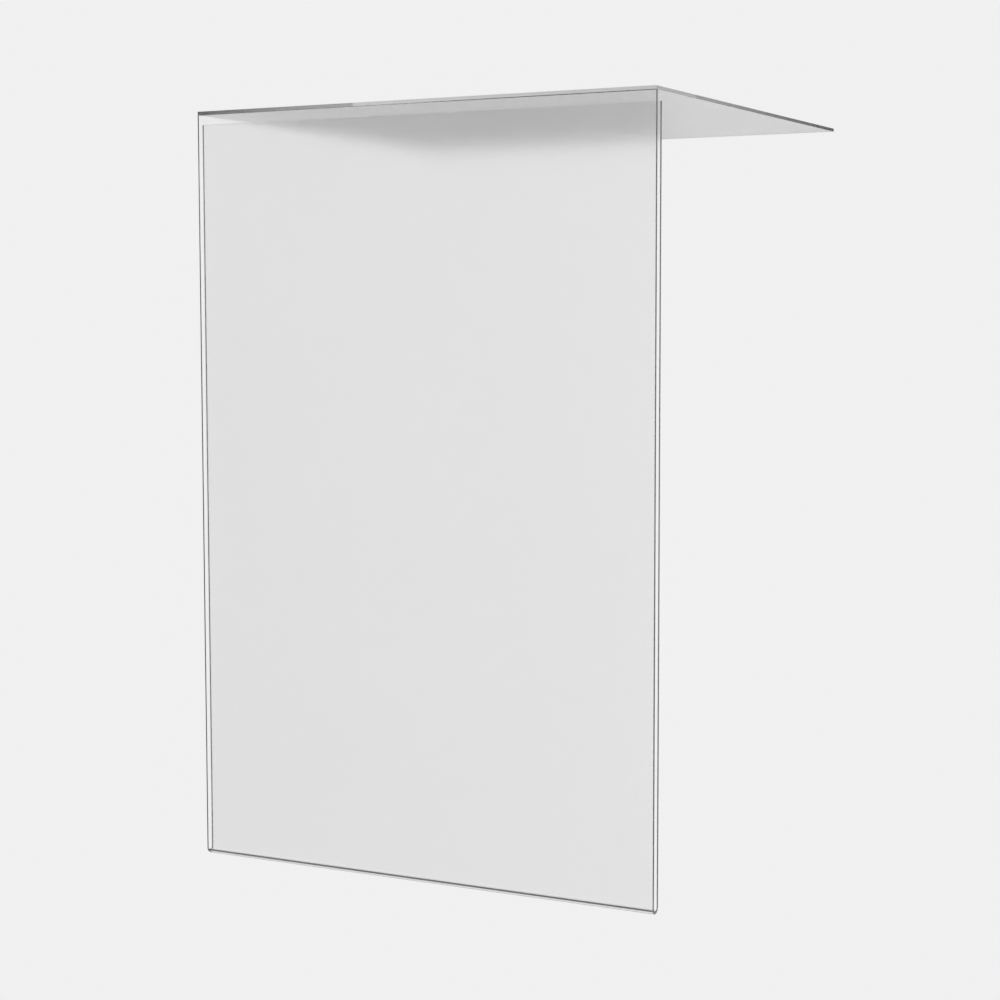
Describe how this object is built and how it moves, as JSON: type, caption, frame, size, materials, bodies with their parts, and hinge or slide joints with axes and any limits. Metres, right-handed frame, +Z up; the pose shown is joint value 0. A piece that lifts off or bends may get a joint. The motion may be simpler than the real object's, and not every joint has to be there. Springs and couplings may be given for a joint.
{
  "type": "sneeze guard",
  "caption": "Clear acrylic sneeze guard: a flat top panel with a double front wall hanging from its front edge, folded at the foot into an open-sided sign pocket.",
  "frame": {"origin": "on the top panel's underside, on the centre line, half way between the rear wall of the pocket and the panel's rear edge: the middle of the area that rests on a shelf or frame", "axes": "+X to the right as a guest in front sees it, +Y to the rear, +Z up out of the top panel"},
  "size_m": [0.61, 0.592, 0.923],
  "materials": {
    "clear_acrylic": "clear cast acrylic sheet, glossy faces, polished cut edges",
    "cement": "cured clear acrylic cement, slightly cloudy"
  },
  "bodies": {
    "root": {"top_panel": "clear_acrylic", "front_pocket": "clear_acrylic", "cement_joint": "cement"}
  },
  "joints": []
}
